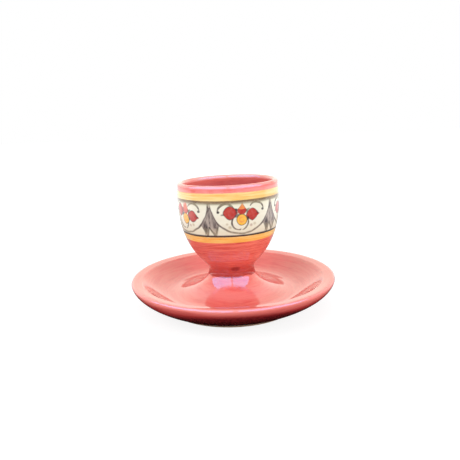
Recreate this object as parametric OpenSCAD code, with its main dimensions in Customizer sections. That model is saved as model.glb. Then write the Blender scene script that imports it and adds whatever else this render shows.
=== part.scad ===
// Egg cup on its own saucer, hand-thrown earthenware with coloured glazes.
// Millimetres, +Z up, origin on the table at the middle of the foot ring.
// Every piece is a solid of revolution. One line, the glazed skin, runs from the foot
// ring round the saucer, up the stem and over the lip to the bottom of the cup. The clay
// bodies end one coat below it, and each glaze coat fills its own stretch between the two.

/* [Overall] */
// Height of the cup's lip above the table
overall_h = 69; // [67:0.5:72]
// Height of the saucer's rim above the table
saucer_h = 15.6; // [15:0.1:17]
// Diameter of the saucer over its glaze
saucer_d = 112; // [108:1:120]

/* [Cup] */
// Widest diameter of the cup over its glaze
belly_d = 54; // [52.5:0.5:57]
// Height of the widest place below the lip
belly_drop = 10; // [8:0.5:13]
// How far the wall draws in above the widest place
belly_tuck = 0.2; // [0.1:0.1:0.6]
// Diameter of the stem's waist over its glaze
waist_d = 24.6; // [23:0.1:26]
// Height of the waist above the saucer's rim
waist_rise = 4.2; // [3:0.1:5]
// Thickness of the wall at the lip over its glaze
lip_w = 3; // [2.6:0.1:3.6]
// Height of the rounding of the lip
lip_round = 2; // [1.6:0.1:2.4]
// Height of the inside bottom above the waist
bottom_t = 5.2; // [4.4:0.1:6.6]

/* [Saucer] */
// Width of the rim's nose outside its highest line
nose_w = 1.3; // [1:0.1:1.6]
// Height of the rim's nose below its highest line
nose_drop = 1.4; // [1.1:0.1:1.8]
// Width of the gently sloping lip inside the highest line
rim_w = 4.3; // [3.5:0.1:5.5]
// Fall of the sloping lip
rim_drop = 0.6; // [0.4:0.1:0.9]
// Depth of the saucer's floor below the rim
dish_depth = 9; // [8.6:0.1:9.5]
// Diameter at which the wall runs out into the floor
floor_d = 66; // [63:1:69]
// Width of the level floor between the wall and the flare of the stem
floor_w = 2.5; // [2:0.5:6]
// Outside diameter of the foot ring
foot_d = 72; // [68:1:76]
// Width of the foot ring
foot_w = 4.2; // [3.6:0.1:5]
// Height of the shoulder at which the glaze stops above the foot ring
foot_shoulder = 1.5; // [1.2:0.1:1.9]
// Step from the foot ring out to that shoulder
shoulder_w = 1.4; // [1:0.1:2]
// Height of the recess inside the foot ring
recess_h = 2.4; // [2:0.1:2.8]

/* [Joint] */
// Step from the waist in to the plain end of the stem that stands in the saucer
tenon_step = 1.5; // [1:0.1:2.5]

/* [Glaze] */
// Thickness of every glaze coat
coat_t = 0.4; // [0.3:0.05:0.5]
// Height of the coral coat from the lip down to the upper yellow band
lip_band = 3.6; // [3:0.1:4.2]
// Height of the upper yellow band
upper_yellow = 3.6; // [3:0.1:4.2]
// Height of the broad dark line under the upper yellow band
upper_line = 1.2; // [0.8:0.1:1.6]
// Height of the ivory frieze
frieze = 16.7; // [15:0.1:18]
// Height of the thin dark line under the frieze
lower_line = 0.6; // [0.4:0.1:1]
// Height of the lower yellow band
lower_yellow = 3.2; // [2.6:0.1:3.8]

/* [Hidden] */

$fn = 180;

// Reach of the under curve's pull, in from the saucer's edge and below its rim
under_pull_in = 1.4;
under_pull_drop = 8;
// Small rounding at the edges of the foot ring, and where the recess meets the ring
foot_round = 0.6;
recess_round = 5;

// Pull of each curve's handles, as a share of the stretch that it spans
rim_pull_share = 0.27;
wall_pull_share = 0.10;
floor_pull_share = 0.47;
flare_out_share = 0.12;
flare_up_share = 0.77;
waist_pull_share = 0.115;
belly_pull_share = 0.725;
well_side_share = 0.48;
well_end_share = 0.80;
// Place of the slip ring's two edges, and of the seam of the glazes, along the flare
slip_low_share = 0.3;
slip_top_share = 0.85;
seam_share = 0.9;

// Steps along each curve
under_steps = 14;
nose_steps = 6;
rim_steps = 6;
wall_steps = 12;
flare_steps = 20;
base_steps = 18;
band_steps = 3;
frieze_steps = 8;
lip_steps = 12;
well_steps = 24;
recess_steps = 8;
solve_steps = 30;
seam_step = round(flare_steps * seam_share);

// Radii and heights that several pieces share
saucer_r = saucer_d / 2;
belly_r = belly_d / 2;
lip_r = belly_r - belly_tuck;
mouth_r = lip_r - lip_w;
waist_r = waist_d / 2;
tenon_r = waist_r - tenon_step;
floor_r = floor_d / 2;
flare_r = floor_r - floor_w;
foot_r = foot_d / 2;
waist_z = saucer_h + waist_rise;
well_z = waist_z + bottom_t;
belly_z = overall_h - belly_drop;
lip_z = overall_h - lip_round;
floor_z = saucer_h - dish_depth;
seat_z = floor_z - coat_t;

// Heights of the edges of the painted bands, from the lip downwards
lip_band_z = overall_h - lip_band;
upper_yellow_z = lip_band_z - upper_yellow;
upper_line_z = upper_yellow_z - upper_line;
frieze_z = upper_line_z - frieze;
lower_line_z = frieze_z - lower_line;
lower_yellow_z = lower_line_z - lower_yellow;

// Point at t, from 0 to 1, of the curve with the four handles p
function curve_at(p, t) =
    pow(1 - t, 3) * p[0] + 3 * pow(1 - t, 2) * t * p[1]
    + 3 * (1 - t) * t * t * p[2] + pow(t, 3) * p[3];

// Points of the curve p in equal steps of t from a to b
function curve(p, steps, a = 0, b = 1) =
    [for (i = [0:steps]) curve_at(p, a + (b - a) * i / steps)];

// Value of t at which the rising curve p reaches the height z, by halving
function t_at_height(p, z, lo = 0, hi = 1, left = solve_steps) =
    let (mid = (lo + hi) / 2)
    left == 0 ? mid
    : curve_at(p, mid)[1] < z ? t_at_height(p, z, mid, hi, left - 1)
    : t_at_height(p, z, lo, mid, left - 1);

// Arc of an ellipse about c, from the angle a to b, with half widths rx and rz
function ellipse_arc(c, rx, rz, a, b, steps) =
    [for (i = [0:steps])
        let (angle = a + (b - a) * i / steps)
        c + [rx * cos(angle), rz * sin(angle)]];

// The list without its last item, and the list backwards
function but_last(v) = [for (i = [0:len(v) - 2]) v[i]];
function backwards(v) = [for (i = [len(v) - 1:-1:0]) v[i]];
function total(v, n) = n == 0 ? 0 : v[n - 1] + total(v, n - 1);

// Neighbours of point i: the line ends square at its start and crosses the axis at its end
function before(v, i) = i > 0 ? v[i - 1] : v[0];
function after(v, i) = i < len(v) - 1 ? v[i + 1] : [-v[i - 1][0], v[i - 1][1]];

// The line v moved by d to its left, square to its own run
function beside(v, d) =
    [for (i = [0:len(v) - 1])
        let (run = after(v, i) - before(v, i), step = run / norm(run))
        v[i] + d * [-step[1], step[0]]];

// The six curves that make the skin
under_curve =
    let (start = [foot_r + shoulder_w, foot_shoulder],
        pull = [saucer_r - under_pull_in, saucer_h - under_pull_drop],
        end = [saucer_r, saucer_h - nose_drop])
    [start, (start + 2 * pull) / 3, (end + 2 * pull) / 3, end];
rim_curve =
    let (start = [saucer_r - nose_w, saucer_h],
        end = [saucer_r - nose_w - rim_w, saucer_h - rim_drop],
        slope = [rim_w, rim_drop])
    [start, start - [rim_w * rim_pull_share, 0], end + slope * rim_pull_share, end];
wall_curve =
    let (start = rim_curve[3],
        end = [floor_r, floor_z],
        span = start - end,
        slope = [rim_w, rim_drop] * span[0] / rim_w)
    [start, start - slope * wall_pull_share, end + [span[0] * floor_pull_share, 0], end];
flare_curve =
    let (start = [flare_r, floor_z],
        end = [waist_r, waist_z],
        span = end - start)
    [start, start + [span[0] * flare_out_share, 0], end - [0, span[1] * flare_up_share], end];
bowl_curve =
    let (start = [waist_r, waist_z],
        end = [belly_r, belly_z],
        rise = belly_z - waist_z)
    [start, start + [0, rise * waist_pull_share], end - [0, rise * belly_pull_share], end];
well_curve =
    let (start = [mouth_r, lip_z],
        end = [0, well_z])
    [start, start - [0, (lip_z - well_z) * well_side_share],
        end + [mouth_r * well_end_share, 0], end];

// Place of the cup's outer skin at the height z
function bowl_at(z) =
    z < belly_z ? curve_at(bowl_curve, t_at_height(bowl_curve, z))
    : [belly_r - belly_tuck * pow((z - belly_z) / (lip_z - belly_z), 2), z];

// Points of the cup's outer skin between two heights
function bowl(z0, z1, steps) = [for (i = [0:steps]) bowl_at(z0 + (z1 - z0) * i / steps)];

// Points of the lip, from its outer edge over the top to the mouth
lip_over = ellipse_arc([mouth_r + lip_w / 2, lip_z], lip_w / 2, lip_round, 0, 180, lip_steps);

// The skin, one stretch for each glaze coat, each starting where the last one ends
stretches = [
    curve(under_curve, under_steps),
    concat(
        but_last(ellipse_arc([saucer_r - nose_w, saucer_h - nose_drop],
            nose_w, nose_drop, 0, 90, nose_steps)),
        but_last(curve(rim_curve, rim_steps)),
        curve(wall_curve, wall_steps),
        curve(flare_curve, seam_step, 0, seam_step / flare_steps)),
    concat(
        but_last(curve(flare_curve, flare_steps - seam_step, seam_step / flare_steps, 1)),
        curve(bowl_curve, base_steps, 0, t_at_height(bowl_curve, lower_yellow_z))),
    bowl(lower_yellow_z, lower_line_z, band_steps),
    bowl(lower_line_z, frieze_z, 1),
    bowl(frieze_z, upper_line_z, frieze_steps),
    bowl(upper_line_z, upper_yellow_z, 1),
    bowl(upper_yellow_z, lip_band_z, band_steps),
    concat(but_last(bowl(lip_band_z, lip_z, band_steps)), lip_over),
    curve(well_curve, well_steps)];
stretch_lens = [for (s = stretches) len(s) - 1];
skin = concat([for (s = stretches) each but_last(s)], [[0, well_z]]);
clay = beside(skin, coat_t);

// Number in the skin of the first point of stretch k
function first(k) = total(stretch_lens, k);

// Numbers in the skin of the slip ring's lower and upper edge
flare_first = first(2) - seam_step;
slip_low = flare_first + round(flare_steps * slip_low_share);
slip_top = flare_first + round(flare_steps * slip_top_share);
slip_low_r = clay[slip_low][0];
slip_top_z = clay[slip_top][1];

// Lines of the recess inside the foot ring, in from the ring to the axis
recess_skin =
    let (edge_r = foot_r - foot_w)
    concat(
        but_last(ellipse_arc([edge_r - recess_round, foot_round], recess_round,
            recess_h - coat_t - foot_round, 0, 90, recess_steps)),
        [[edge_r - recess_round, recess_h - coat_t], [0, recess_h - coat_t]]);
recess_clay = beside(recess_skin, -coat_t);

// A line of points turned about the axis
module turned(points) {
    rotate_extrude() polygon(points);
}

// The glaze coat of stretch k, between the skin and the clay
module coat(k) {
    numbers = [first(k):first(k + 1)];
    turned(concat([for (i = numbers) skin[i]], backwards([for (i = numbers) clay[i]])));
}

module saucer_body() {
    foot_in_r = foot_r - foot_w;
    color("peru") turned(concat(
        [for (i = [0:slip_low]) clay[i]],
        [[slip_low_r, seat_z], [0, seat_z]],
        backwards(recess_clay),
        [[foot_in_r, foot_round], [foot_in_r + foot_round, 0],
            [foot_r - foot_round, 0], [foot_r, foot_round]]));
}

module cup_body() {
    color("sandybrown") turned(concat(
        [for (i = [slip_top:len(clay) - 1]) clay[i]],
        [[0, seat_z], [tenon_r, seat_z], [tenon_r, slip_top_z]]));
}

module luting_slip() {
    color("burlywood") turned(concat(
        [for (i = [slip_low:slip_top]) clay[i]],
        [[tenon_r, slip_top_z], [tenon_r, seat_z], [slip_low_r, seat_z]]));
}

module foot_well_glaze() {
    color("indianred") turned(concat(recess_skin, backwards(recess_clay)));
}

module saucer_under_glaze() {
    color("firebrick") coat(0);
}

module saucer_top_glaze() {
    color("salmon") coat(1);
}

module cup_base_glaze() {
    color("tomato") coat(2);
}

module lower_yellow_band() {
    color("orange") coat(3);
}

module lower_dark_line() {
    color("dimgray") coat(4);
}

module ivory_frieze() {
    color("ivory") coat(5);
}

module upper_dark_line() {
    color("gray") coat(6);
}

module upper_yellow_band() {
    color("goldenrod") coat(7);
}

module lip_glaze() {
    color("lightcoral") coat(8);
}

module cup_lining_glaze() {
    color("crimson") coat(9);
}

saucer_body();
cup_body();
luting_slip();
foot_well_glaze();
saucer_under_glaze();
saucer_top_glaze();
cup_base_glaze();
lower_yellow_band();
lower_dark_line();
ivory_frieze();
upper_dark_line();
upper_yellow_band();
lip_glaze();
cup_lining_glaze();
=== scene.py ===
"""Egg cup on its own saucer: the looks of hand-thrown, hand-painted, glazed earthenware.

The cup, its stem and the saucer share one glazed skin. It is a line in the half plane of
radius and height that runs from the foot ring round the saucer, up the stem, over the lip
and down to the bottom of the cup. Turning that line about the axis gives a surface of two
parameters, the turn and the way along the line. Every coat of glaze is the stretch of the
surface between two painted edges, and every clay body lies one coat below it.

Sizes are in millimetres and become metres where a mesh is made.
"""

import logging
import math
from dataclasses import dataclass, field
from enum import Enum
from typing import Callable, Optional, Sequence

import bpy
import numpy as np
from mathutils import Matrix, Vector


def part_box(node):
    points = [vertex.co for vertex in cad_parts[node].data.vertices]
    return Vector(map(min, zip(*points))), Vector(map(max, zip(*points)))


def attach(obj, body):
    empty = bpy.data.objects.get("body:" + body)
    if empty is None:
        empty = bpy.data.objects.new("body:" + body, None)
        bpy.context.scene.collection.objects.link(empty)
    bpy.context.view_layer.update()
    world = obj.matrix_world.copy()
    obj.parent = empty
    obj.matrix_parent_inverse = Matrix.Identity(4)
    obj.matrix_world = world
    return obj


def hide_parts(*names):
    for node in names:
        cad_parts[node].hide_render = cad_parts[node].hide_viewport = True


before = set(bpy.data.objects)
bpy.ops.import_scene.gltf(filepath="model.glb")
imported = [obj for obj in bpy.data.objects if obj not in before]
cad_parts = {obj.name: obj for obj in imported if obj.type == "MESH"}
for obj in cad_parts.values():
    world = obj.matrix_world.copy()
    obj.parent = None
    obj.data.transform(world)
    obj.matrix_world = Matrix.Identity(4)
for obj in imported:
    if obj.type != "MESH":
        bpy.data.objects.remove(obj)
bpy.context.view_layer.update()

MM = 0.001
FULL_TURN = 2 * math.pi
FRONT_TURN = 0.75  # share of a turn at which the skin faces the camera
TURN_STEPS = 384
UV_NAME = "round_and_up"

CLAY_ROWS, INNER_ROWS = 0.6, 0.3  # rows of hidden surfaces, as shares of the glaze's
CORNER_POINTS, ROOF_POINTS, FOOT_POINTS = 28, 24, 7  # of the recess and the foot ring
PHASE_SPAN = 6.3  # widest phase that a sway's wave may start with, in radians
STRAIGHT = 1e-6  # radius in millimetres below which a point counts as on the axis
AIM_HEIGHT = 0.03  # metres above the floor that the lamps are aimed at
SHARP = math.radians(50)  # bend above which an edge of a mesh is drawn sharp

Triple = tuple[float, float, float]
Colour = Triple
Span = tuple[float, float]
Socket = bpy.types.NodeSocket

log = logging.getLogger("egg_cup")


def srgb(red: int, green: int, blue: int) -> Colour:
    """Linear colour of a screen colour, by the power law of the standard display."""
    shares = [value / 255 for value in (red, green, blue)]
    return tuple(s / 12.92 if s < 0.04045 else ((s + 0.055) / 1.055) ** 2.4 for s in shares)


def smooth(value: np.ndarray) -> np.ndarray:
    """A soft step: three times the square of the value less twice its cube, from 0 to 1."""
    held = np.clip(value, 0.0, 1.0)
    return held * held * (3 - 2 * held)


def bezier(handles: Sequence[Sequence[float]], share: np.ndarray) -> np.ndarray:
    """Points of a cubic curve.

    Each point is the mean of the four handles with the weights of the third power of
    (1 - share) + share.

    Args:
        handles: Four places as radius and height.
        share: The way along the curve, from 0 to 1.

    Returns:
        An array of one row of radius and height for each share.
    """
    p = np.asarray(handles, float)
    t = np.asarray(share, float)[:, None]
    weights = ((1 - t) ** 3, 3 * (1 - t) ** 2 * t, 3 * (1 - t) * t**2, t**3)
    return sum(weight * handle for weight, handle in zip(weights, p))


def ellipse_arc(centre: Span, half: Span, degrees: Span, points: int) -> np.ndarray:
    """Points of an ellipse's arc: the centre plus the half widths times cosine and sine.

    Args:
        centre: Radius and height of the middle.
        half: Half width along the radius and along the height.
        degrees: First and last angle.
        points: How many points.

    Returns:
        An array of one row of radius and height for each point.
    """
    angle = np.radians(np.linspace(*degrees, points))
    return np.asarray(centre) + np.asarray(half) * np.column_stack([np.cos(angle), np.sin(angle)])


def cad_mm(node: str) -> tuple[np.ndarray, np.ndarray]:
    """Lowest and highest corner of a CAD node, in millimetres."""
    low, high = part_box(node)
    return np.array(low) / MM, np.array(high) / MM


@dataclass
class SkinLine:
    """The glazed skin's line, from the foot ring's shoulder to the bottom of the cup.

    The driving sizes come from the CAD frame; the rest are the small sizes that the same
    curves need.
    """

    coat: float = 0.4
    nose_w: float = 1.3
    nose_drop: float = 1.4
    rim_w: float = 4.3
    rim_drop: float = 0.6
    dish_depth: float = 9.0
    floor_r: float = 33.0
    floor_w: float = 2.5
    rim_pull: float = 0.27
    wall_pull: float = 0.10
    floor_pull: float = 0.47
    flare_out: float = 0.12
    flare_up: float = 0.77
    foot_r: float = 36.0
    foot_w: float = 4.2
    foot_round: float = 0.6
    recess_round: float = 5.0
    shoulder_w: float = 1.4
    shoulder_h: float = 1.5
    under_pull: Span = (1.4, 8.0)
    waist_r: float = 12.3
    waist_rise: float = 4.2
    tenon_step: float = 1.5
    belly_drop: float = 10.0
    belly_tuck: float = 0.2
    lip_w: float = 3.0
    lip_round: float = 2.0
    points: int = 600
    slip_from: float = 0.30
    slip_to: float = 0.85
    seam_at: float = 0.9
    bowl_pull: Span = (0.115, 0.725)
    well_pull: Span = (0.48, 0.80)
    row_mm: float = 0.6
    bend_rows: float = 10.0
    places: dict[str, float] = field(default_factory=dict)

    def __post_init__(self) -> None:
        """Takes the driving sizes from the frame and lays out the line."""
        self.top = cad_mm("lip_glaze")[1][2]
        self.rim_z = cad_mm("saucer_top_glaze")[1][2]
        self.saucer_r = cad_mm("saucer_top_glaze")[1][0]
        self.belly_r = cad_mm("ivory_frieze")[1][0]
        self.floor_z = self.rim_z - self.dish_depth
        self.seat_z = self.floor_z - self.coat
        self.well_z = cad_mm("cup_lining_glaze")[0][2] + self.coat
        self.recess_z = cad_mm("foot_well_glaze")[1][2]
        self.waist_z = self.rim_z + self.waist_rise
        self.lip_z = self.top - self.lip_round
        self.belly_z = self.top - self.belly_drop
        self.lip_r = self.belly_r - self.belly_tuck
        self.mouth_r = self.lip_r - self.lip_w
        self.tenon_r = self.waist_r - self.tenon_step
        self._lay_out()

    def _saucer_curves(self) -> dict[str, np.ndarray]:
        """Curves of the saucer: underside, nose, sloping rim, wall, floor and the stem's flare.

        Returns:
            The points of each curve by its name, in order along the skin.
        """
        share = np.linspace(0, 1, self.points)
        start = np.array([self.foot_r + self.shoulder_w, self.shoulder_h])
        pull = np.array([self.saucer_r - self.under_pull[0], self.rim_z - self.under_pull[1]])
        edge = np.array([self.saucer_r, self.rim_z - self.nose_drop])
        crest = np.array([self.saucer_r - self.nose_w, self.rim_z])
        slope = np.array([self.rim_w, self.rim_drop])
        inner = crest - slope
        floor = np.array([self.floor_r, self.floor_z])
        fall = (inner[0] - floor[0]) / self.rim_w
        flare = floor - [self.floor_w, 0]
        waist = np.array([self.waist_r, self.waist_z])
        span = waist - flare
        return {
            "under": bezier([start, (start + 2 * pull) / 3, (edge + 2 * pull) / 3, edge], share),
            "nose": ellipse_arc((crest[0], edge[1]), (self.nose_w, self.nose_drop), (0, 90),
                                self.points // 4),
            "rim": bezier([crest, crest - [self.rim_pull * self.rim_w, 0],
                           inner + self.rim_pull * slope, inner], share),
            "wall": bezier([inner, inner - self.wall_pull * slope * fall,
                            floor + [self.floor_pull * (inner[0] - floor[0]), 0], floor], share),
            "floor": np.array([floor, flare]),
            "flare": bezier([flare, flare + [self.flare_out * span[0], 0],
                             waist - [0, self.flare_up * span[1]], waist], share),
        }

    def _cup_curves(self) -> dict[str, np.ndarray]:
        """Curves of the cup: bowl, the wall above its widest place, lip and well.

        Returns:
            The points of each curve by its name, in order along the skin.
        """
        share = np.linspace(0, 1, self.points)
        rise = self.belly_z - self.waist_z
        waist = np.array([self.waist_r, self.waist_z])
        belly = np.array([self.belly_r, self.belly_z])
        mouth = np.array([self.mouth_r, self.lip_z])
        bottom = np.array([0.0, self.well_z])
        return {
            "bowl": bezier([waist, waist + [0, self.bowl_pull[0] * rise],
                            belly - [0, self.bowl_pull[1] * rise], belly], share),
            "tuck": np.column_stack([self.belly_r - self.belly_tuck * share**2,
                                     self.belly_z + (self.lip_z - self.belly_z) * share]),
            "lip": ellipse_arc((self.mouth_r + self.lip_w / 2, self.lip_z),
                               (self.lip_w / 2, self.lip_round), (0, 180), self.points // 2),
            "well": bezier([mouth, mouth - [0, self.well_pull[0] * (self.lip_z - self.well_z)],
                            bottom + [self.well_pull[1] * self.mouth_r, 0], bottom], share),
        }

    def _lay_out(self) -> None:
        """Joins the curves, measures the way along them and names the painted edges."""
        curves = self._saucer_curves() | self._cup_curves()
        line = np.vstack([c[:-1] for c in curves.values()] + [curves["well"][-1:]])
        step = np.hypot(*np.diff(line, axis=0).T)
        self.way = np.concatenate([[0.0], np.cumsum(step)])
        self.line = line
        run = np.gradient(line, self.way, axis=0)
        run /= np.hypot(*run.T)[:, None]
        run[-1] = [-1.0, 0.0]
        self.inward = np.column_stack([-run[:, 1], run[:, 0]])
        bend = np.abs(np.diff(np.unwrap(np.arctan2(run[:, 1], run[:, 0]))))
        rows = step / self.row_mm + bend * self.bend_rows
        self.measure = np.concatenate([[0.0], np.cumsum(rows)])
        counts = np.cumsum([0] + [len(c) - 1 for c in curves.values()])
        first = dict(zip(curves, counts))
        outer = slice(first["bowl"], first["lip"] + 1)

        def on_flare(share: float) -> float:
            """Way along the line to a share of the flare's curve."""
            return float(np.interp(share * (self.points - 1), np.arange(self.points),
                                   self.way[first["flare"]:first["flare"] + self.points]))

        self.slip_low, self.slip_top = on_flare(self.slip_from), on_flare(self.slip_to)
        self.places = {"shoulder": 0.0, "nose": float(self.way[first["nose"]]),
                       "seam": on_flare(self.seam_at), "mouth": float(self.way[first["well"]]),
                       "bottom": float(self.way[-1])}
        for name, node in (("lower_yellow", "lower_yellow_band"), ("lower_line", "lower_dark_line"),
                           ("frieze", "ivory_frieze"), ("upper_line", "upper_dark_line"),
                           ("upper_yellow", "upper_yellow_band"), ("lip_band", "lip_glaze")):
            low = cad_mm(node)[0][2]
            self.places[name] = float(np.interp(low, line[outer, 1], self.way[outer]))

    def ways(self, low: float, high: float, coarse: float = 1.0) -> np.ndarray:
        """Ways along the line between two places, closer together where it bends.

        Args:
            low: Way along the line to the first place.
            high: Way along the line to the last place.
            coarse: Share of the usual number of rows.

        Returns:
            The ways in rising order.
        """
        first, last = np.interp([low, high], self.way, self.measure)
        rows = max(2, round(coarse * (last - first)))
        way = np.interp(np.linspace(first, last, rows + 1), self.measure, self.way)
        way[0], way[-1] = low, high
        return way

    def shares(self, low: float, high: float, coarse: float = 1.0) -> np.ndarray:
        """The same ways as shares of the stretch, from 0 to 1."""
        return (self.ways(low, high, coarse) - low) / (high - low)

    def at(self, way: np.ndarray, depth: float = 0.0) -> tuple[np.ndarray, np.ndarray]:
        """Radius and height of the line at each way along it, moved into the clay by depth.

        Args:
            way: Ways along the line, in millimetres.
            depth: How deep below the skin, in millimetres.

        Returns:
            Two arrays of the same shape as the ways.
        """
        r, z = (np.interp(way, self.way, self.line[:, axis])
                + depth * np.interp(way, self.way, self.inward[:, axis]) for axis in (0, 1))
        return np.maximum(r, 0.0), z

    def clay_line(self, low: float, high: float) -> np.ndarray:
        """Outline of the clay, one coat deep, between two places; coarser than the glaze."""
        return np.column_stack(self.at(self.ways(low, high, CLAY_ROWS), self.coat))


@dataclass(frozen=True)
class HandThrown:
    """The slight unevenness of a piece thrown and joined by hand.

    The cup leans a little to the left on its stem and is a little out of round. The
    saucer's rim sinks towards the left back and is drawn in, most at the left.
    """

    lean: float = math.radians(0.92)
    pivot_z: float = 19.8
    crown_r: float = 25.4
    lean_from: float = 15.6
    lean_full: float = 30.0
    oval: float = 0.0030
    oval_phase: float = 0.6
    lobed: float = 0.0018
    lobed_phase: float = 2.1
    rim_wave: float = 0.06
    rim_wave_phase: float = 2.4
    rim_tilt: float = 0.33
    rim_high: float = math.radians(-27)
    rim_less: float = 0.54
    rim_side: float = 0.35
    rim_side_phase: float = -0.272
    rim_oval: float = 0.49
    rim_oval_phase: float = 2.181
    rim_from: float = 37.0
    rim_full: float = 56.0

    def place(self, turn: np.ndarray, r: np.ndarray, z: np.ndarray) -> np.ndarray:
        """Places skin points in space, in metres.

        A point at a turn, radius and height goes to radius times cosine and sine of the
        turn. The radius first swells by two slow waves round the cup. The saucer's rim sinks
        by a slope to one side and a slow wave, and draws in by two slow waves. The cup then
        turns a little about its waist.

        Args:
            turn: Share of a full turn.
            r: Radius in millimetres.
            z: Height in millimetres.

        Returns:
            An array of points, with x, y and z along its last axis.
        """
        angle = FULL_TURN * turn
        cup = smooth((z - self.lean_from) / (self.lean_full - self.lean_from))
        rim = smooth((r - self.rim_from) / (self.rim_full - self.rim_from))
        swell = (self.oval * np.cos(2 * angle + self.oval_phase)
                 + self.lobed * np.cos(3 * angle + self.lobed_phase))
        sink = (self.rim_tilt * (np.cos(angle - self.rim_high) - 1)
                + self.rim_wave * (np.cos(2 * angle + self.rim_wave_phase) - 1))
        draw = (self.rim_side * np.cos(angle + self.rim_side_phase)
                + self.rim_oval * np.cos(2 * angle + self.rim_oval_phase) - self.rim_less)
        r = r * (1 + cup * swell) + rim * (1 - cup) * draw
        z = z + rim * (1 - cup) * sink
        x = r * np.cos(angle)
        y = r * np.sin(angle)
        tilt = math.sin(self.lean) * cup
        return np.stack([x - (z - self.pivot_z) * tilt, y, z + (x - self.crown_r) * tilt], -1) * MM


@dataclass(frozen=True)
class Edge:
    """A painted edge round the piece, which sways a little as a brush does."""

    place: float
    sway: float = 0.0
    seed: int = 0
    counts: tuple[int, ...] = (2, 3, 5, 8, 13, 21)
    falling: float = 0.7

    def way(self, turn: np.ndarray) -> np.ndarray:
        """Way along the skin at each turn: the edge's place plus a sum of slow waves.

        Args:
            turn: Shares of a full turn.

        Returns:
            The way at each turn, in millimetres.
        """
        chance = np.random.default_rng(self.seed)
        waves = np.zeros_like(turn)
        for count in self.counts:
            height = chance.normal() / count**self.falling
            phase = chance.uniform(0, PHASE_SPAN)
            waves += height * np.cos(FULL_TURN * count * turn + phase)
        return self.place + self.sway * waves


def lathe(name: str, r: np.ndarray, z: np.ndarray, up: np.ndarray,
          thrown: HandThrown) -> bpy.types.Object:
    """Makes a closed solid by turning a closed outline about the axis.

    The outline is a grid of radius and height with one row for each point and one column
    for each turn, so that a painted edge may sway. The last row joins the first. Points
    on the axis become one vertex each, and faces without area are left out.

    Args:
        name: Name of the piece.
        r: Radius of each grid point, in millimetres.
        z: Height of each grid point, in millimetres.
        up: The second texture coordinate of each row, as a share of the piece's width.
        thrown: The unevenness to lay over the points.

    Returns:
        The new object, at the origin, with its place in its mesh.
    """
    rows, columns = r.shape
    turn = np.arange(columns) / columns
    points = thrown.place(turn[None, :], r, z)
    on_axis = r.max(axis=1) < STRAIGHT
    number = np.arange(rows * columns).reshape(rows, columns)
    number[on_axis] = number[on_axis][:, :1]
    used, compact = np.unique(number, return_inverse=True)
    number = compact.reshape(rows, columns)
    below, above = number, np.roll(number, -1, axis=0)
    u0 = np.broadcast_to(turn, (rows, columns))
    u1 = u0 + 1 / columns
    v0 = np.broadcast_to(up[:, None], (rows, columns))
    v1 = np.roll(v0, -1, axis=0)
    faces, u, v = (np.stack(corners, -1).reshape(-1, 4) for corners in (
        (below, np.roll(below, -1, 1), np.roll(above, -1, 1), above), (u0, u1, u1, u0),
        (v0, v0, v1, v1)))
    keep = np.ones(faces.shape, bool)
    keep[:, 1] = faces[:, 0] != faces[:, 1]
    keep[:, 3] = faces[:, 3] != faces[:, 2]
    real = keep.sum(1) >= 3
    faces, u, v, keep = faces[real], u[real], v[real], keep[real]
    corners = keep.sum(1)
    co = points.reshape(-1, 3)[used]
    first, second, third, fourth = (co[faces[:, i]] for i in range(4))
    volume = (first * (np.cross(second, third) + np.cross(third, fourth))).sum()
    if volume < 0:
        faces, u, v, keep = faces[:, ::-1], u[:, ::-1], v[:, ::-1], keep[:, ::-1]
    mesh = bpy.data.meshes.new(name)
    mesh.vertices.add(len(co))
    mesh.vertices.foreach_set("co", co.ravel())
    mesh.loops.add(int(corners.sum()))
    mesh.loops.foreach_set("vertex_index", faces[keep])
    mesh.polygons.add(len(faces))
    mesh.polygons.foreach_set("loop_start", np.concatenate([[0], np.cumsum(corners)[:-1]]))
    layer = mesh.uv_layers.new(name=UV_NAME)
    layer.data.foreach_set("uv", np.column_stack([u[keep], v[keep]]).ravel())
    mesh.update(calc_edges=True)
    mesh.validate()
    mesh.shade_smooth()
    mesh.set_sharp_from_angle(angle=SHARP)
    piece = bpy.data.objects.new(name, mesh)
    bpy.context.scene.collection.objects.link(piece)
    return piece


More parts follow.
